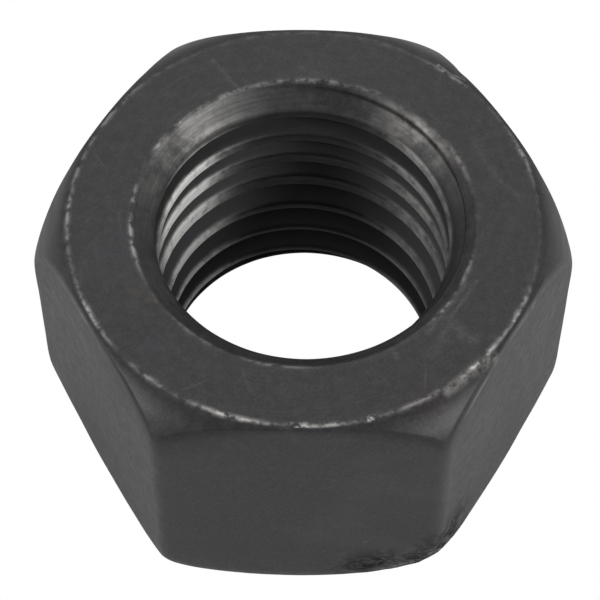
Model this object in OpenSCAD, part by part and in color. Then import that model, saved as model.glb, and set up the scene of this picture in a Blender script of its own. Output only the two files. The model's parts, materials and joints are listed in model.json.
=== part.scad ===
// Plain hexagon nut, M20 x 2.5, tall style, in one piece of steel.
// The thread axis is Z, the lower bearing face is at z = 0 and two flats face +Y and -Y.

/* [Body] */
// Width across the flats at the lower face
across_flats = 29.8; // [29.2:0.1:31]
// Height over both faces
nut_h = 19.2; // [15:0.1:24]
// Angle by which each flat leans in towards the upper face
flat_draft = 1.5; // [0.2:0.1:1.5]

/* [Corners] */
// Diameter of the upper face
upper_face_d = 28.1; // [27:0.1:28.2]
// Diameter of the lower face
lower_face_d = 28.5; // [27:0.1:29]
// Angle between a corner chamfer and its face
chamfer_angle = 35; // [20:1:45]
// Radius that rounds the upper chamfer into the corner edges
upper_round = 4.1; // [1:0.1:5]
// Radius that rounds the lower chamfer into the corner edges
lower_round = 1.2; // [0.5:0.1:2]

/* [Thread] */
// Nominal (largest) diameter of the thread
thread_d = 20; // [19.6:0.1:20.3]
// Axial distance between neighbouring turns
pitch = 2.5; // [2:0.5:2.5]
// Diameter of the drilled hole, which the crests of the thread keep
bore_d = 17.74; // [17.3:0.02:17.74]
// Diameter of each countersink where it meets the face
countersink_d = 20.5; // [20.4:0.1:22]
// Angle between the countersink and the face
countersink_angle = 40; // [30:1:45]
// Where the groove starts round the axis, in degrees
thread_start = 213; // [0:1:359]

/* [Hidden] */
eps = 0.01;
round_steps = 96;

// Body
corner_r = across_flats / 2 / cos(30);
side_count = 6;
slab = 3 * across_flats;

// Thread, a 60 degree form
bore_r = bore_d / 2;
root_flat = pitch / 8;
flank_angle = 30;
groove_overcut = 0.3;
countersink_r = countersink_d / 2;
countersink_depth = (countersink_r - bore_r) * tan(countersink_angle);

// The swept groove
steps_per_turn = 48;
turns = ceil(nut_h / pitch) + 2;
groove_steps = turns * steps_per_turn;
groove_bottom = (nut_h - turns * pitch) / 2;

// Half the groove's width at radius r
function groove_half(r) = root_flat / 2 + (thread_d / 2 - r) * tan(flank_angle);

// The groove's section as [radius, height above its centre line]
groove_inner_r = bore_r - groove_overcut;
groove_section = [
    [groove_inner_r, -groove_half(groove_inner_r)],
    [thread_d / 2, -root_flat / 2],
    [thread_d / 2, root_flat / 2],
    [groove_inner_r, groove_half(groove_inner_r)]
];
section_n = len(groove_section);

// A corner of the section after a number of steps along the right-hand helix
function groove_point(step, corner) =
    let (
        turn_angle = thread_start + 360 * step / steps_per_turn,
        r = groove_section[corner][0],
        z = groove_bottom + pitch * step / steps_per_turn + groove_section[corner][1]
    )
    [r * cos(turn_angle), r * sin(turn_angle), z];

module thread_groove() {
    points = [
        for (step = [0 : groove_steps], corner = [0 : section_n - 1]) groove_point(step, corner)
    ];
    last = groove_steps * section_n;
    sides = [
        for (step = [0 : groove_steps - 1], corner = [0 : section_n - 1])
            let (
                here = step * section_n + corner,
                beside = step * section_n + (corner + 1) % section_n
            )
            each [
                [here, beside, beside + section_n],
                [here, beside + section_n, here + section_n]
            ]
    ];
    ends = [[3, 2, 1, 0], [last, last + 1, last + 2, last + 3]];
    polyhedron(points = points, faces = concat(sides, ends));
}

// Six flats that lean in towards the top
module hex_body() {
    intersection_for (side = [0 : side_count - 1])
        rotate(side * 360 / side_count)
            translate([0, across_flats / 2, 0])
                rotate([flat_draft, 0, 0])
                    translate([-slab / 2, -slab, -slab / 2])
                        cube(slab);
}

// The chamfer as [radius, depth below its face]: a cone from the face circle, then an arc that
// ends upright on the corner edge
arc_steps = 6;
edge_clear = 0.3;
function chamfer_profile(face_r, round_r) =
    let (
        centre_r = corner_r + edge_clear - round_r,
        cone_end_r = centre_r + round_r * sin(chamfer_angle),
        cone_drop = (cone_end_r - face_r) * tan(chamfer_angle),
        centre_drop = cone_drop + round_r * cos(chamfer_angle)
    )
    [
        [face_r, 0],
        for (i = [0 : arc_steps])
            let (a = chamfer_angle + i * (90 - chamfer_angle) / arc_steps)
            [centre_r + round_r * sin(a), centre_drop - round_r * cos(a)]
    ];

// Everything inside the corner chamfers of both faces
module chamfer_limit() {
    lower = chamfer_profile(lower_face_d / 2, lower_round);
    upper = chamfer_profile(upper_face_d / 2, upper_round);
    upper_points = [for (i = [len(upper) - 1 : -1 : 0]) [upper[i][0], nut_h - upper[i][1]]];
    rotate_extrude($fn = round_steps)
        polygon(concat([[0, 0]], lower, upper_points, [[0, nut_h]]));
}

// The plain hole with its two countersinks
module bore() {
    spread = eps / tan(countersink_angle);
    rotate_extrude($fn = round_steps)
        polygon([
            [0, -eps],
            [countersink_r + spread, -eps],
            [bore_r, countersink_depth],
            [bore_r, nut_h - countersink_depth],
            [countersink_r + spread, nut_h + eps],
            [0, nut_h + eps]
        ]);
}

module hex_nut() {
    color([0.24, 0.25, 0.26])
        difference() {
            intersection() {
                hex_body();
                chamfer_limit();
            }
            bore();
            thread_groove();
        }
}

hex_nut();
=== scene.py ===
"""Looks of a plain hexagon nut: a worn, black-oxide steel nut with a right-hand thread.

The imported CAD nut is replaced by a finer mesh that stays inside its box, with worn edges, unevenly
rounded corners, small dents and a thread that runs out through its countersinks. Shapes are worked
out in millimetres and turned into metres when the mesh is made.
"""

import json
import math

import bpy
import numpy as np
from mathutils import Matrix, Vector, noise


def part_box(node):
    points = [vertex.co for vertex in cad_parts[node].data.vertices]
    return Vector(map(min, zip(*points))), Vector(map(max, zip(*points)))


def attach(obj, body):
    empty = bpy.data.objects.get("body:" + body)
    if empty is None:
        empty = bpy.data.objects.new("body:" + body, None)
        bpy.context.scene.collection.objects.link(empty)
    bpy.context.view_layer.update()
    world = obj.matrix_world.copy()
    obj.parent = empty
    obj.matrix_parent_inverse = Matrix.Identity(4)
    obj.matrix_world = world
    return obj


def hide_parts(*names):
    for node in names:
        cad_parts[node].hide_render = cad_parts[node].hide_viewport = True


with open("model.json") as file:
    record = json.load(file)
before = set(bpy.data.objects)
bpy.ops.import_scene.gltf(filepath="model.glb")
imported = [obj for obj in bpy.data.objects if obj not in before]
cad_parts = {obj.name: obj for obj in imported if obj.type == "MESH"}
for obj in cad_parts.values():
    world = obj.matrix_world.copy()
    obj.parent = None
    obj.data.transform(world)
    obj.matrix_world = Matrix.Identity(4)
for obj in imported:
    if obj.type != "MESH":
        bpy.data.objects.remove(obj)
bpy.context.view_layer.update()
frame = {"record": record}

MM = 0.001
NODE = "hex_nut"

# ---------------------------------------------------------------- sizes, in millimetres

# Draft, face circles, countersinks and thread form follow the CAD, and corner depths the photo
low, high = (Vector(p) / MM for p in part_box(NODE))
thread_mount = next(m for m in frame["record"]["mounts"] if m["name"] == "thread")

HEIGHT = high.z - low.z
HALF_FLATS_LOW = high.y
DRAFT = math.radians(1.5)
CORNER_FILLET = 1.0
SIDES = 6
SECTOR = math.tau / SIDES

# The flat faces end at these radii, and the rounded corners stay within LIMIT_R
FACE_R = 14.05
LOWER_FACE_R = 14.25
LIMIT_CLEAR = 0.07
LIMIT_R = HALF_FLATS_LOW / math.cos(SECTOR / 2) + LIMIT_CLEAR

# How far from its face each corner's rounding reaches, anticlockwise from the +X corner as seen
# from above
UPPER_DEPTHS = (8.8, 4.0, 3.8, 9.3, 3.6, 3.6)
LOWER_DEPTHS = (2.0, 2.2, 2.2, 2.5, 3.6, 5.8)
UPPER_BULGE = 1.56
LOWER_BULGE = 1.83

# The countersinks
MOUTH_R = 10.26
MOUTH_SLOPE = math.radians(40)
MOUTH_BLEND = 0.5
CONE_DEPTH = 1.45
CONE_FADE = 0.4

# The thread: THREAD_Z is the height of a groove's middle in the +X direction
BORE_R = thread_mount["dims"]["r_mm"]
PITCH = 2.5
FLANK = math.radians(30)
THREAD_Z = 0.7
ROOT_R = 9.88
ROOT_BLEND = 0.25
CREST_BLEND = 0.42
LAND_FADE = 0.3

# How far the crests stand into the hole, at the upper end and below BURR_RISE - BURR_FADE
UPPER_BURR = 0.06
LOWER_BURR = 0.25
BURR_RISE = 7.5
BURR_FADE = 3

# The turns whose crests are torn away
TORN_RISE = 9.9
TORN_SPREAD = 2.6
TORN_DEPTH = 0.3


# ---------------------------------------------------------------- outline of the hexagon


def half_flats(z):
    """Distance from the axis to the flats at height z."""
    return HALF_FLATS_LOW - z * math.tan(DRAFT)


def hex_radius(theta, z):
    """Radius of the filleted hexagon in direction theta at height z."""
    beta = (theta + SECTOR / 2) % SECTOR - SECTOR / 2
    flat = half_flats(z) / np.cos(SECTOR / 2 - np.abs(beta))
    centre = (half_flats(z) - CORNER_FILLET) / math.cos(SECTOR / 2)
    reach = np.maximum(CORNER_FILLET**2 - (centre * np.sin(beta)) ** 2, 0)
    rounded = centre * np.cos(beta) + np.sqrt(reach)
    touch = np.arctan2(
        CORNER_FILLET * math.sin(SECTOR / 2), centre + CORNER_FILLET * math.cos(SECTOR / 2)
    )
    return np.where(np.abs(beta) < touch, rounded, flat)


def corner_depth(theta, depths):
    """The rounding depth in direction theta, blended between the two nearest corners."""
    place = theta / SECTOR
    first = np.floor(place).astype(int)
    share = place - first
    share = share * share * (3 - 2 * share)
    values = np.array(depths)
    return values[first % SIDES] * (1 - share) + values[(first + 1) % SIDES] * share


def corner_limit(theta, depth, depths, face_r, bulge):
    """Largest radius that the rounded corner leaves at a depth below its face."""
    full = corner_depth(theta, depths)
    rise = np.clip(1 - depth / full, 0, 1)
    return face_r + (LIMIT_R - face_r) * (1 - rise**bulge) ** (1 / bulge)


# ---------------------------------------------------------------- the hole and its thread


def soft_max(a, b, width):
    """The larger of two values, blended where they are within width of each other."""
    blend = np.maximum(width - np.abs(a - b), 0) / width
    return np.maximum(a, b) + blend * blend * width / 4


def thread_rise(theta, z):
    """Height above the thread's first turn, counted along the helix."""
    return z - THREAD_Z - PITCH * theta / math.tau


def torn(rise):
    """1 on the turns whose crests are torn away, fading to 0 on the others."""
    return np.exp(-(((rise - TORN_RISE) / TORN_SPREAD) ** 4))


def hole_radius(theta, z):
    """Radius of the tapped hole at height z, and the share of countersink and crest in it."""
    rise = thread_rise(theta, z)
    along = (rise + PITCH / 2) % PITCH - PITCH / 2
    groove = ROOT_R - (np.hypot(along, ROOT_BLEND) - ROOT_BLEND) / math.tan(FLANK)
    depth = np.minimum(z, HEIGHT - z)
    mouth = MOUTH_R - depth / math.tan(MOUTH_SLOPE)

    burr = UPPER_BURR + (LOWER_BURR - UPPER_BURR) * np.clip((BURR_RISE - rise) / BURR_FADE, 0, 1)
    crest = BORE_R - burr + TORN_DEPTH * torn(rise)
    plain = soft_max(mouth, crest, MOUTH_BLEND)
    cone = np.clip((CONE_DEPTH - depth) / CONE_FADE + 0.5, 0, 1)
    land = np.clip((crest - groove) / LAND_FADE + 0.5, 0, 1) * (1 - cone)
    return soft_max(plain, groove, CREST_BLEND), cone, land


# ---------------------------------------------------------------- rows of the mesh

COLUMNS_PER_SECTOR = 48
CORNER_CROWDING = 0.7
EDGE_STEPS = np.array([0.0, 0.06, 0.15, 0.3])
CURVE_SAMPLES = 240
CROSSING_SAMPLES = 1200

# Rows between the crowded ends of each stretch, and every row of the hole
FLAT_ROWS = 14
TOP_ROWS = 20
FACE_ROWS = 12
BORE_ROWS = 232
SEAT_ROWS = 8
BOTTOM_ROWS = 14

# Order of the corner rows that outline_rows gives
LOW_CREASE, TOP_CREASE, FACE_EDGE, MOUTH_EDGE, LOW_MOUTH_EDGE, LOW_FACE_EDGE = range(6)


def column_angles():
    """Angles of the mesh columns, closer together near the six corners."""
    u = np.arange(COLUMNS_PER_SECTOR) / COLUMNS_PER_SECTOR
    u = u - CORNER_CROWDING * np.sin(math.tau * u) / math.tau
    return np.concatenate([(side + u) * SECTOR for side in range(SIDES)])


def along_curve(r, z, middle):
    """Rows along one stretch of the outline, crowded at both ends.

    r and z hold one finely sampled curve per column, as (columns, samples)."""
    rows_r, rows_z = [], []
    for cr, cz in zip(r, z):
        length = np.concatenate([[0], np.cumsum(np.hypot(np.diff(cr), np.diff(cz)))])
        total = length[-1]
        steps = EDGE_STEPS * min(1, total / (4 * EDGE_STEPS[-1]))
        inner = np.linspace(steps[-1], total - steps[-1], middle + 2)[1:-1]
        at = np.concatenate([steps, inner, total - steps[::-1]])
        rows_r.append(np.interp(at, length, cr))
        rows_z.append(np.interp(at, length, cz))
    return np.array(rows_r).T, np.array(rows_z).T


def crossing(theta, depths, face_r, bulge, upper):
    """Depth below the face at which the rounded corner meets the flat, per column."""
    depth = np.linspace(0, max(depths), CROSSING_SAMPLES)[None, :]
    z = HEIGHT - depth if upper else depth
    limit = corner_limit(theta[:, None], depth, depths, face_r, bulge)
    beyond = limit >= hex_radius(theta[:, None], z)
    first = beyond.argmax(axis=1)
    first[~beyond.any(axis=1)] = depth.size - 1
    return depth[0, first]


def outline_rows(theta):
    """Every row round the nut's section, as (rows, columns) arrays of radius and height, with
    the number of each corner row and the countersink and crest masks."""
    samples = np.linspace(0, 1, CURVE_SAMPLES)[None, :]
    t = theta[:, None]
    top_cut = crossing(theta, UPPER_DEPTHS, FACE_R, UPPER_BULGE, True)[:, None]
    low_cut = crossing(theta, LOWER_DEPTHS, LOWER_FACE_R, LOWER_BULGE, False)[:, None]

    flat_z = low_cut + (HEIGHT - top_cut - low_cut) * samples
    flat = along_curve(hex_radius(t, flat_z), flat_z, FLAT_ROWS)

    depth = top_cut * (1 - samples) ** 2
    top_r = corner_limit(t, depth, UPPER_DEPTHS, FACE_R, UPPER_BULGE)
    top_z = HEIGHT - depth
    top = along_curve(np.minimum(top_r, hex_radius(t, top_z)), top_z, TOP_ROWS)

    level = 0 * t * samples
    face_r = top[0][-1][:, None]
    face = along_curve(face_r + (MOUTH_R - face_r) * samples, HEIGHT + level, FACE_ROWS)

    bore_z = np.linspace(HEIGHT, 0, BORE_ROWS)[:, None] + 0 * theta[None, :]
    bore_r, cone, land = hole_radius(theta[None, :], bore_z)

    depth = low_cut * samples**2
    low_r = corner_limit(t, depth, LOWER_DEPTHS, LOWER_FACE_R, LOWER_BULGE)
    bottom = along_curve(np.minimum(low_r, hex_radius(t, depth)), depth, BOTTOM_ROWS)
    seat_r = bottom[0][0][:, None]
    seat = along_curve(MOUTH_R + (seat_r - MOUTH_R) * samples, level, SEAT_ROWS)

    parts = [flat, top, face, (bore_r, bore_z), seat, bottom]
    rows_r, rows_z, corners, count = [], [], [], 0
    for r, z in parts:
        rows_r.append(r[:-1])
        rows_z.append(z[:-1])
        corners.append(count)
        count += len(r) - 1
    r, z = np.concatenate(rows_r), np.concatenate(rows_z)
    bore = slice(corners[MOUTH_EDGE], corners[MOUTH_EDGE] + len(bore_r) - 1)
    masks = {"cone": np.zeros_like(r), "land": np.zeros_like(r)}
    masks["cone"][bore], masks["land"][bore] = cone[:-1], land[:-1]
    return r, z, corners, masks


# Averaging passes and rows on each side, where the flats end and at every other edge
CREASE_SOFTENING = (24, 4)
EDGE_SOFTENING = (2, 1)


def soften(values, corners):
    """Rounds each corner row by averaging it with the rows beside it, most where flats end."""
    for line, corner in enumerate(corners):
        crease = line in (LOW_CREASE, TOP_CREASE)
        passes, reach = CREASE_SOFTENING if crease else EDGE_SOFTENING
        for _ in range(passes):
            before, after = np.roll(values, 1, axis=0), np.roll(values, -1, axis=0)
            smooth = (before + 2 * values + after) / 4
            for row in range(corner - reach, corner + reach + 1):
                values[row % len(values)] = smooth[row % len(values)]
    return values


# ---------------------------------------------------------------- wear and roughness

# Bright worn places on each edge: an even share, then (angle, half width, strength) in degrees
WORN = {
    LOW_CREASE: (0.05, [(300, 12, 0.35), (180, 8, 0.3)]),
    TOP_CREASE: (0.0, [(205, 10, 0.25), (335, 8, 0.3), (312, 5, 0.3)]),
    FACE_EDGE: (0.07, [
        (150, 12, 0.25), (178, 14, 0.45), (210, 7, 0.6), (232, 5, 0.35), (254, 8, 0.95),
        (269, 2, 2.2), (277, 5, 0.6), (286, 1.2, 2.4), (298, 8, 0.35), (315, 7, 1.1),
        (332, 6, 0.6), (20, 6, 0.4), (50, 5, 0.5),
    ]),
    MOUTH_EDGE: (0.06, [
        (150, 3, 0.8), (138, 3, 0.8), (118, 18, 0.4), (88, 12, 0.45), (66, 5, 0.3),
        (172, 5, 0.5), (190, 10, 0.75), (232, 8, 0.2), (262, 9, 0.35), (322, 4, 0.7),
        (338, 7, 0.35), (25, 9, 0.35),
    ]),
    LOW_MOUTH_EDGE: (0.1, []),
    LOW_FACE_EDGE: (0.15, [(100, 20, 0.4), (250, 12, 0.5)]),
}
WEAR_WIDTH = 0.13
WEAR_ROWS = 4

# The same for the countersinks and the thread's crests, where it stands in for the photo's
# reflections as well as for polish
CONE_POLISH_AND_GLINT = (0.3, [(142, 22, 2.3), (44, 18, 2.4)])
CREST_POLISH_AND_GLINT = (0.002, [(147, 17, 1.7), (38, 18, 0.5), (178, 18, 0.35), (5, 18, 0.25)])

# Height below which the grooves are painted paler towards the bottom: painted glare that lifts the
# shade deep in the hole
DEEP_Z = 16.0


def bell(theta, angle, width):
    """1 in one direction, in degrees, fading to 0 on both sides of it."""
    off = (theta - math.radians(angle) + math.pi) % math.tau - math.pi
    return np.exp(-((off / math.radians(width)) ** 2))


def worn_share(theta, level, patches):
    """Strength of the wear along one edge."""
    share = np.full_like(theta, level)
    for angle, width, strength in patches:
        share += strength * bell(theta, angle, width)
    return share


def wear_map(theta, r, z, corners):
    """Wear at each vertex, from how near it is to an edge."""
    wear = np.zeros_like(r)
    for line, row in enumerate(corners):
        near = np.zeros(len(r))
        near[np.arange(row - WEAR_ROWS, row + WEAR_ROWS + 1) % len(r)] = 1
        away = np.hypot(r - r[row], z - z[row])
        share = worn_share(theta, *WORN[line])
        wear = np.maximum(wear, near[:, None] * share * np.exp(-((away / WEAR_WIDTH) ** 2)))
    return wear


def region(r, corners, first, last):
    """1 on the rows from one corner row to another, 0 elsewhere."""
    mask = np.zeros_like(r)
    mask[corners[first] : corners[last] + 1] = 1
    return mask


def outer_sides(r, corners):
    """1 on the flats and rounded corners, 0 on the faces and in the hole."""
    mask = region(r, corners, LOW_CREASE, FACE_EDGE)
    mask[corners[LOW_FACE_EDGE] :] = 1
    return mask


def surface_points(theta, r, z):
    """Every vertex as one row of x, y and z."""
    return np.stack([r * np.cos(theta), r * np.sin(theta), z], axis=-1).reshape(-1, 3)


def unevenness(points, size, octaves):
    """Signed noise about 1 high at each point, with features of a given size."""
    return np.array([noise.fractal(Vector(p) / size, 1.0, 2.0, octaves) for p in points])


def spots_at(theta, z, spots):
    """Soft spots on the side of the nut: (angle, half width, height, half height, strength)."""
    total = 0 * theta * z
    for angle, width, height, tall, strength in spots:
        total += strength * bell(theta, angle, width) * np.exp(-(((z - height) / tall) ** 2))
    return total


# Lumps of scale at the foot of one corner, and nicks in the upper face's edge
SCALE_SPOTS = [(304, 7, 2.8, 2.8, 1.5), (290, 9, 1.9, 1.6, 1.35)]
NICKS = [(50, 1.5, HEIGHT, 0.7, 0.1), (269, 0.8, HEIGHT, 0.4, 0.1)]

# Sizes of the unevenness, and how far it moves the surface
BROAD_SIZE = 6.0
BROAD_HEIGHT = 0.05
LUMP_SIZE = 1.1
LUMP_HEIGHT = 0.08
LUMP_SINK = 0.06
CHIP_SIZE = 0.55
CHIP_PATCH_SIZE = 2.5
CHIP_DEPTH = 0.006
TORN_CHIP_DEPTH = 0.045


def battered(theta, z):
    """1 on the corner that has lumps of scale at its foot, fading round it."""
    return np.clip(spots_at(theta, z, SCALE_SPOTS), 0, 1)


def roughen(theta, r, z, corners, land):
    """Uneven forged sides, ragged thread crests and small dents."""
    shape = r.shape
    theta = theta[None, :] + 0 * r
    points = surface_points(theta, r, z)
    broad = unevenness(points, BROAD_SIZE, 2).reshape(shape)
    lump = battered(theta, z)
    lumps = unevenness(points, LUMP_SIZE, 3).reshape(shape)
    out = BROAD_HEIGHT * broad + LUMP_HEIGHT * lump * lumps - LUMP_SINK * lump
    out *= outer_sides(r, corners)
    out -= spots_at(theta, z, NICKS) * region(r, corners, TOP_CREASE, FACE_EDGE)

    # Crests are chipped, more so on the torn turns
    chipped = CHIP_DEPTH + TORN_CHIP_DEPTH * torn(thread_rise(theta, z))
    patchy = np.clip(0.1 + 2 * unevenness(points, CHIP_PATCH_SIZE, 1).reshape(shape), 0, 1)
    out += land * chipped * patchy * unevenness(points, CHIP_SIZE, 2).reshape(shape)
    return r + out


def nut_mesh():
    """The nut's closed surface, with the maps that its material reads."""
    theta = column_angles()
    r, z, corners, masks = outline_rows(theta)
    r, z = soften(r, corners), soften(z, corners)
    wear = wear_map(theta, r, z, corners)
    r = roughen(theta, r, z, corners, masks["land"])
    rows, columns = r.shape

    row, column = np.meshgrid(np.arange(rows), np.arange(columns), indexing="ij")
    beside = (column + 1) % columns
    above = (row + 1) % rows
    around = [(row, column), (row, beside), (above, beside), (above, column)]
    faces = np.stack([at * columns + across for at, across in around], axis=-1).reshape(-1, 4)

    mesh = bpy.data.meshes.new("hex_nut_steel")
    mesh.from_pydata((surface_points(theta, r, z) * MM).tolist(), [], faces.tolist())
    mesh.polygons.foreach_set("use_smooth", np.ones(len(faces), bool))
    mesh.update()

    turned = region(r, corners, TOP_CREASE, MOUTH_EDGE)
    turned += region(r, corners, LOW_MOUTH_EDGE, LOW_FACE_EDGE)
    bore = region(r, corners, MOUTH_EDGE, LOW_MOUTH_EDGE)
    tapped = np.clip(bore - masks["cone"], 0, 1)
    maps = {
        "wear": wear,
        "turned": np.clip(turned + masks["cone"], 0, 1),
        "tapped": tapped,
        # cone: polish on the countersinks plus painted reflections, strongest at two angles
        "cone": masks["cone"] * worn_share(theta, *CONE_POLISH_AND_GLINT),
        "land": masks["land"],
        # Painted glare: grooves paler towards the bottom of the hole
        "deep_glare": tapped * np.clip(1 - z / DEEP_Z, 0, 1),
        # crest: polish on the thread's crests plus painted highlights, strongest on the left
        "crest": masks["land"] * worn_share(theta, *CREST_POLISH_AND_GLINT),
        "upper": region(r, corners, TOP_CREASE, MOUTH_EDGE),
        "battered": outer_sides(r, corners) * battered(theta[None, :], z),
    }
    for name, values in maps.items():
        layer = mesh.attributes.new(name, "FLOAT", "POINT")
        layer.data.foreach_set("value", values.ravel().astype(np.float32))
    return mesh


# ---------------------------------------------------------------- materials


class Graph:
    """Short calls for one material's nodes. Texture places are in millimetres."""

    def __init__(self, name):
        self.material = bpy.data.materials.new(name)
        self.material.use_nodes = True
        self.tree = self.material.node_tree
        self.shader = self.tree.nodes["Principled BSDF"]
        place = self.node("ShaderNodeTexCoord").outputs["Object"]
        self.place = self.vector("SCALE", place, scale=1 / MM)

    def node(self, kind, **settings):
        node = self.tree.nodes.new(kind)
        for name, value in settings.items():
            setattr(node, name, value)
        return node

    def feed(self, socket, value):
        if isinstance(value, bpy.types.NodeSocket):
            self.tree.links.new(value, socket)
        else:
            socket.default_value = value

    def vector(self, operation, a, b=(0, 0, 0), scale=1):
        node = self.node("ShaderNodeVectorMath", operation=operation)
        self.feed(node.inputs[0], a)
        if operation == "SCALE":
            self.feed(node.inputs["Scale"], scale)
        else:
            self.feed(node.inputs[1], b)
        number = operation in ("LENGTH", "DISTANCE", "DOT_PRODUCT")
        return node.outputs["Value" if number else "Vector"]

    def math(self, operation, a, b=0.0, c=0.0, clamp=False):
        node = self.node("ShaderNodeMath", operation=operation, use_clamp=clamp)
        for socket, value in zip(node.inputs, (a, b, c)):
            self.feed(socket, value)
        return node.outputs[0]

    def times(self, *values):
        product = values[0]
        for value in values[1:]:
            product = self.math("MULTIPLY", product, value)
        return product

    def noise(self, place, scale, detail=2.0, rough=0.5, distortion=0.0):
        node = self.node("ShaderNodeTexNoise")
        self.feed(node.inputs["Vector"], place)
        node.inputs["Scale"].default_value = scale
        node.inputs["Detail"].default_value = detail
        node.inputs["Roughness"].default_value = rough
        node.inputs["Distortion"].default_value = distortion
        return node.outputs["Fac"]

    def span(self, value, low, high, to_low=0.0, to_high=1.0):
        """Maps a value from one range to another, with soft ends."""
        node = self.node("ShaderNodeMapRange", interpolation_type="SMOOTHSTEP")
        for name, number in (("Value", value), ("From Min", low), ("From Max", high),
                             ("To Min", to_low), ("To Max", to_high)):
            self.feed(node.inputs[name], number)
        return node.outputs["Result"]

    def mix(self, share, a, b, data_type="RGBA"):
        node = self.node("ShaderNodeMix", data_type=data_type)
        for name, value in (("Factor", share), ("A", a), ("B", b)):
            self.feed(next(s for s in node.inputs if s.name == name and s.enabled), value)
        return next(s for s in node.outputs if s.enabled)

    def blend(self, share, a, b):
        return self.mix(share, a, b, "FLOAT")

    def attribute(self, name):
        return self.node("ShaderNodeAttribute", attribute_name=name).outputs["Fac"]

    def stretched(self, across, along, angle):
        """Texture places drawn out along one direction in the plane of the faces."""
        node = self.node("ShaderNodeMapping", vector_type="TEXTURE")
        self.feed(node.inputs["Vector"], self.place)
        node.inputs["Rotation"].default_value = (0, 0, math.radians(angle))
        node.inputs["Scale"].default_value = (along, across, across)
        return node.outputs["Vector"]

    def scuff(self, flat_place, start, end, width):
        """1 near a short line between two places in the plane of the faces, fading beside it."""
        start, run = Vector((*start, 0)), Vector((*end, 0)) - Vector((*start, 0))
        from_start = self.vector("SUBTRACT", flat_place, tuple(start))
        along = self.vector("DOT_PRODUCT", from_start, tuple(run / run.length_squared))
        along = self.math("MULTIPLY", along, 1.0, clamp=True)
        nearest = self.vector("SCALE", tuple(run), scale=along)
        return self.span(self.vector("DISTANCE", from_start, nearest), width, 0)


OXIDE = (0.0180, 0.0178, 0.0180, 1)
OXIDE_BLUE = (0.0172, 0.0182, 0.0208, 1)
OXIDE_WARM = (0.0200, 0.0178, 0.0175, 1)
OXIDE_PALE = (0.042, 0.0415, 0.042, 1)
OXIDE_DARK = (0.009, 0.009, 0.0095, 1)
PAINTED_GLARE_GREY = (0.12, 0.12, 0.125, 1)
BARE_STEEL = (0.40, 0.39, 0.375, 1)
CREST_STEEL_AND_GLINT = (0.72, 0.71, 0.69, 1)
RUST_TINT = (0.085, 0.045, 0.036, 1)

# Scuffs on the upper face and its rim, in millimetres: start, end, half width, strength
SCUFFS = [
    ((-5.9, 11.8), (-4.2, 9.6), 0.3, 0.05),
    ((-0.2, 11.2), (1.6, 10.3), 0.45, 0.04),
    ((8.3, 11.6), (8.9, 11.0), 0.14, 0.55),
    ((8.9, 11.0), (9.9, 10.5), 0.12, 0.40),
    ((10.3, 5.4), (11.6, 3.0), 0.4, 0.04),
    ((11.6, 3.0), (12.9, 1.6), 0.3, 0.04),
    ((8.0, -6.9), (9.7, -8.3), 0.7, 0.05),
    ((7.4, -9.4), (8.3, -7.6), 0.5, 0.04),
    ((-3.3, -10.5), (-2.9, -11.9), 0.25, 0.035),
    ((5.4, -9.6), (4.6, -7.6), 0.3, 0.05),
    ((8.2, -11.7), (10.9, -9.3), 0.5, 0.35),
    ((9.4, -4.6), (7.2, -7.9), 0.3, 0.07),
    ((10.1, -4.4), (8.2, -7.4), 0.2, 0.06),
]
RUST_SPOTS = [
    ((-9.9, -5.2), (-9.5, -5.5), 0.45, 0.3),
    ((-8.9, -5.9), (-8.4, -6.0), 0.35, 0.3),
]

# Directions of the faint rubbed streaks on the upper face, in degrees
STREAK_ANGLES = (25, -55, 85)
STREAK_STRENGTH = 0.05

SPECK_STRENGTH = 0.12

# Ring marks: how fine, how much they shift with height, and how often they break up round the axis
RING_FINENESS = 3.6
RING_CLIMB = 0.8
RING_BREAKS = 2.2

FILM_SPECULAR = 0.35
RELIEF_STRENGTH = 0.5
RELIEF_DEPTH = 0.05


class Places:
    """Masks and noises that more than one part of the steel's look reads."""

    def __init__(self, g):
        self.turned, self.tapped = g.attribute("turned"), g.attribute("tapped")
        self.upper, self.land = g.attribute("upper"), g.attribute("land")
        self.forged = g.math("SUBTRACT", 1.0, g.math("ADD", self.turned, self.tapped), clamp=True)
        self.groove = g.math("SUBTRACT", self.tapped, self.land, clamp=True)

        self.flat_place = g.vector("MULTIPLY", g.place, (1, 1, 0))
        self.rings = ring_noise(g, self.flat_place)
        self.ring_patch = g.span(g.noise(g.place, 0.11, detail=1.0), 0.42, 0.6, 0.25, 1.0)
        self.mottle = g.noise(g.place, 1.5, detail=6.0, rough=0.72)
        self.grain = g.noise(g.place, 6.5, detail=3.0, rough=0.75)
        self.chips = g.noise(g.place, 1.3, detail=4.0, rough=0.62)
        self.broken = g.span(g.noise(g.place, 2.6, detail=4.0, rough=0.7), 0.3, 0.62)
        clumps = g.noise(g.place, 0.9, detail=5.0, rough=0.7, distortion=1.0)
        self.crusted = g.times(g.attribute("battered"), g.span(clumps, 0.38, 0.6))


def ring_noise(g, flat_place):
    """Noise drawn out round the axis, for the rings that turning and tapping leave."""
    split = g.node("ShaderNodeSeparateXYZ")
    g.feed(split.inputs[0], g.place)
    lifted = g.math("MULTIPLY", split.outputs["Z"], RING_CLIMB)
    across = g.math("ADD", g.vector("LENGTH", flat_place), lifted)
    ring_at = g.node("ShaderNodeCombineXYZ")
    g.feed(ring_at.inputs["Z"], g.math("MULTIPLY", across, RING_FINENESS))
    round_axis = g.vector("SCALE", g.vector("NORMALIZE", flat_place), scale=RING_BREAKS)
    return g.noise(g.vector("ADD", ring_at.outputs[0], round_axis), 1.0, detail=5.0, rough=0.7)


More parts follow.
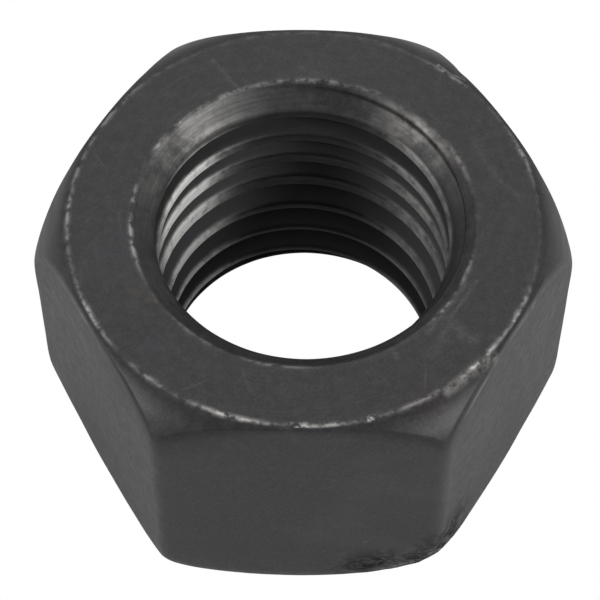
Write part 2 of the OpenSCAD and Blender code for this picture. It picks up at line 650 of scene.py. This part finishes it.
def oxide_film(g, p):
    """Colour of the oxide film: layers of cloud, mottle, grain and rings, two rust spots, painted
    shade in the thread's grooves and painted glare that pales the grooves towards the bottom.
    """
    clouds = g.noise(g.place, 0.16, detail=3.0, distortion=0.5)
    tint = g.noise(g.place, 0.45, detail=3.0)
    film = g.mix(g.span(clouds, 0.38, 0.62), OXIDE_WARM, OXIDE_BLUE)
    layers = [
        (g.span(tint, 0.35, 0.65), OXIDE),
        (g.times(p.forged, 0.6), OXIDE_BLUE),
        (g.times(g.span(p.mottle, 0.45, 0.72), g.blend(p.forged, 0.5, 0.9)), OXIDE_PALE),
        (g.times(g.span(p.mottle, 0.48, 0.28), 0.65), OXIDE_DARK),
        (g.times(g.span(p.grain, 0.5, 0.7), g.blend(p.forged, 0.4, 1.0)), OXIDE_PALE),
        (g.times(g.span(p.grain, 0.48, 0.25), 0.85), OXIDE_DARK),
        (g.times(g.span(clouds, 0.5, 0.66), g.blend(p.forged, 0.14, 0.3)), OXIDE_PALE),
        (g.times(p.crusted, 0.8), OXIDE_DARK),
        (g.times(p.tapped, 0.4), OXIDE_PALE),
        # Grooves darker: painted shade in the thread's recesses
        (g.times(p.groove, 0.35), OXIDE_DARK),
        # Painted glare: grooves paler towards the bottom of the hole
        (g.times(g.attribute("deep_glare"), p.groove), PAINTED_GLARE_GREY),
        (g.times(g.span(p.rings, 0.52, 0.78), p.turned, p.ring_patch, 0.8), OXIDE_PALE),
    ]
    for start, end, width, strength in RUST_SPOTS:
        spot = g.times(g.scuff(p.flat_place, start, end, width), p.upper, p.broken, strength)
        layers.append((spot, RUST_TINT))
    for share, colour in layers:
        film = g.mix(share, film, colour)
    return film


def bare_and_glint_share(g, p):
    """How bare the steel is: worn edges, rubbed places and specks, with polish and painted
    highlights on crests and countersinks.
    """
    bare_and_glint = g.math("MULTIPLY", g.attribute("wear"), g.span(p.chips, 0.38, 0.62), clamp=True)
    marks = []
    for angle in STREAK_ANGLES:
        streak = g.noise(g.stretched(0.25, 3.5, angle), 1.0, detail=3.0, rough=0.6)
        patch = g.noise(g.stretched(1, 1, angle), 0.3, detail=1.0)
        streak, patch = g.span(streak, 0.6, 0.78), g.span(patch, 0.52, 0.7)
        marks.append(g.times(streak, patch, STREAK_STRENGTH, p.upper))
    for start, end, width, strength in SCUFFS:
        scuff = g.scuff(p.flat_place, start, end, width)
        marks.append(g.times(scuff, p.upper, p.broken, strength))
    specks = g.span(g.noise(g.place, 1.6, detail=3.0, rough=0.75), 0.66, 0.76)
    marks.append(g.times(specks, p.forged, SPECK_STRENGTH))
    # Crests: polish plus painted highlights in the directions where the side lamps glint
    marks.append(g.times(g.attribute("crest"), g.span(p.chips, 0.28, 0.6, 0.4, 1.0)))
    # Countersinks: polish plus painted reflections, strongest at two angles
    blotches = g.span(g.noise(g.place, 0.45, detail=6.0, rough=0.7), 0.36, 0.64, 0.1, 1.0)
    ringed = g.span(p.rings, 0.3, 0.7, 0.06, 0.16)
    marks.append(g.times(g.attribute("cone"), blotches, ringed))
    for mark in marks:
        bare_and_glint = g.math("MAXIMUM", bare_and_glint, mark)
    return bare_and_glint


def film_roughness(g, p):
    """Roughness of the oxide film on each kind of surface."""
    dull = g.span(p.mottle, 0.3, 0.75, 0.42, 0.58)
    dull = g.blend(p.crusted, dull, 0.85)
    dull = g.blend(g.times(p.turned, 0.7), dull, g.span(p.rings, 0.3, 0.75, 0.36, 0.52))
    dull = g.blend(p.tapped, dull, g.span(p.chips, 0.3, 0.7, 0.36, 0.5))
    return g.blend(p.groove, dull, 0.7)


def surface_relief(g, p):
    """Bump of ring marks where it was turned, and of pitted scale elsewhere."""
    relief = g.times(p.mottle, g.blend(p.forged, 0.3, 0.45))
    relief = g.math("ADD", relief, g.times(p.rings, p.turned, p.ring_patch, 0.5))
    relief = g.math("ADD", relief, g.times(p.grain, g.blend(p.forged, 0.3, 0.5)))
    relief = g.math("ADD", relief, g.times(p.crusted, 0.25))
    bump = g.node("ShaderNodeBump")
    bump.inputs["Strength"].default_value = RELIEF_STRENGTH
    bump.inputs["Distance"].default_value = RELIEF_DEPTH * MM
    g.feed(bump.inputs["Height"], relief)
    return bump.outputs["Normal"]


def black_steel():
    """Black oxide over steel, worn bright on its edges, with polish and painted highlights on some
    crests and the countersinks.
    """
    g = Graph("black_steel")
    p = Places(g)
    bare_and_glint = bare_and_glint_share(g, p)
    # Brighter steel on the crests, partly polish and partly painted highlight
    steel = g.mix(p.land, BARE_STEEL, CREST_STEEL_AND_GLINT)
    metal = g.blend(g.math("MAXIMUM", g.times(p.tapped, 0.5), g.times(p.crusted, 0.7)), 0.3, 1.0)
    inputs = g.shader.inputs
    g.feed(inputs["Base Color"], g.mix(bare_and_glint, oxide_film(g, p), steel))
    g.feed(inputs["Metallic"], g.blend(bare_and_glint, metal, g.blend(p.tapped, 1.0, 0.2)))
    inputs["Specular IOR Level"].default_value = FILM_SPECULAR
    bare_roughness = g.blend(p.tapped, 0.35, 0.55)
    g.feed(inputs["Roughness"], g.blend(bare_and_glint, film_roughness(g, p), bare_roughness))
    g.feed(inputs["Normal"], surface_relief(g, p))
    return g.material


# ---------------------------------------------------------------- camera, floor and light

# The photograph's viewpoint: where it aims, in millimetres, and from how far
VIEW_AIM = Vector((-0.189, 0.058, 9.639))
VIEW_DISTANCE = 120.01
VIEW_ELEVATION = math.radians(58.42)
VIEW_AZIMUTH = math.radians(-0.391)
VIEW_ROLL = math.radians(-0.347)
LENS = 113.04
SENSOR_WIDTH = 36
NEAREST_SEEN = 1


def make_camera():
    """The camera at the photograph's viewpoint."""
    data = bpy.data.cameras.new("camera")
    data.lens = LENS
    data.sensor_width = SENSOR_WIDTH
    data.clip_start = NEAREST_SEEN * MM
    camera = bpy.data.objects.new("camera", data)
    bpy.context.collection.objects.link(camera)
    ahead = Vector((
        math.cos(VIEW_ELEVATION) * math.sin(VIEW_AZIMUTH),
        math.cos(VIEW_ELEVATION) * math.cos(VIEW_AZIMUTH),
        -math.sin(VIEW_ELEVATION),
    ))
    turn = Matrix.Rotation(VIEW_ROLL, 3, ahead) @ ahead.to_track_quat("-Z", "Y").to_matrix()
    place = (VIEW_AIM - ahead * VIEW_DISTANCE) * MM
    camera.matrix_world = Matrix.Translation(place) @ turn.to_4x4()
    bpy.context.scene.camera = camera


# The table is a hair under the nut, so the two surfaces don't lie in one plane
TABLE_DROP = 0.05
TABLE_REACH = 3000
TABLE_GREY = (0.45, 0.45, 0.45, 1)
TABLE_GLOW = 0.22
TABLE_ROUGHNESS = 0.8
WHITE = (1, 1, 1, 1)


def make_floor():
    """A softly lit table that the camera sees as the plain white of a cut-out photo."""
    corners = [(-1, -1), (1, -1), (1, 1), (-1, 1)]
    points = [(x * TABLE_REACH * MM, y * TABLE_REACH * MM, -TABLE_DROP * MM) for x, y in corners]
    mesh = bpy.data.meshes.new("floor")
    mesh.from_pydata(points, [], [(0, 1, 2, 3)])
    floor = bpy.data.objects.new("floor", mesh)
    bpy.context.collection.objects.link(floor)
    material = bpy.data.materials.new("floor")
    material.use_nodes = True
    tree = material.node_tree
    shader = tree.nodes["Principled BSDF"]
    shader.inputs["Base Color"].default_value = TABLE_GREY
    shader.inputs["Emission Color"].default_value = WHITE
    shader.inputs["Emission Strength"].default_value = TABLE_GLOW
    shader.inputs["Roughness"].default_value = TABLE_ROUGHNESS
    white = tree.nodes.new("ShaderNodeEmission")
    mixer = tree.nodes.new("ShaderNodeMixShader")
    path = tree.nodes.new("ShaderNodeLightPath")
    tree.links.new(path.outputs["Is Camera Ray"], mixer.inputs[0])
    tree.links.new(shader.outputs[0], mixer.inputs[1])
    tree.links.new(white.outputs[0], mixer.inputs[2])
    tree.links.new(mixer.outputs[0], tree.nodes["Material Output"].inputs["Surface"])
    mesh.materials.append(material)


# Lamps: name, azimuth from +X towards +Y, elevation, side in metres, power in watts
LAMPS = [
    ("right_box", -30, 30, 0.22, 2.8),
    ("left_box", 197, 32, 0.24, 2.0),
    ("back_box", 90, 58, 0.55, 1.3),
]
LAMP_DISTANCE = 0.66

# The studio is dimmest in one direction, behind the photographer
STUDIO_BRIGHT = 0.66
STUDIO_DIM = 0.2
DIM_TOWARDS = Vector((0, -0.6, 0.8))
DIM_REACH = math.radians(56)


def soft_light(name, azimuth, elevation, size, power):
    """A square lamp that faces the nut."""
    data = bpy.data.lights.new(name, "AREA")
    data.shape = "SQUARE"
    data.size = size
    data.energy = power
    lamp = bpy.data.objects.new(name, data)
    bpy.context.collection.objects.link(lamp)
    azimuth, elevation = math.radians(azimuth), math.radians(elevation)
    away = Vector((math.cos(elevation) * math.cos(azimuth),
                   math.cos(elevation) * math.sin(azimuth), math.sin(elevation)))
    lamp.location = away * LAMP_DISTANCE
    lamp.rotation_euler = (-away).to_track_quat("-Z", "Y").to_euler()


def make_lights():
    """A soft white studio, dimmer on the camera's side, with three square lamps."""
    world = bpy.data.worlds.new("studio")
    world.use_nodes = True
    tree = world.node_tree
    shade = tree.nodes["Background"]
    shade.inputs["Color"].default_value = WHITE
    place = tree.nodes.new("ShaderNodeTexCoord")
    nearness = tree.nodes.new("ShaderNodeVectorMath")
    nearness.operation = "DOT_PRODUCT"
    nearness.inputs[1].default_value = DIM_TOWARDS
    fade = tree.nodes.new("ShaderNodeMapRange")
    fade.interpolation_type = "SMOOTHSTEP"
    fade.inputs["From Min"].default_value = math.cos(DIM_REACH)
    fade.inputs["From Max"].default_value = 1
    fade.inputs["To Min"].default_value = STUDIO_BRIGHT
    fade.inputs["To Max"].default_value = STUDIO_DIM
    tree.links.new(place.outputs["Generated"], nearness.inputs[0])
    tree.links.new(nearness.outputs["Value"], fade.inputs["Value"])
    tree.links.new(fade.outputs["Result"], shade.inputs["Strength"])
    bpy.context.scene.world = world
    for lamp in LAMPS:
        soft_light(*lamp)


# ---------------------------------------------------------------- the scene

make_camera()
make_floor()
make_lights()
bpy.context.scene.view_settings.view_transform = "Standard"

nut = bpy.data.objects.new("nut_body", nut_mesh())
bpy.context.collection.objects.link(nut)
nut.data.materials.append(black_steel())
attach(nut, "root")
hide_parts(NODE)
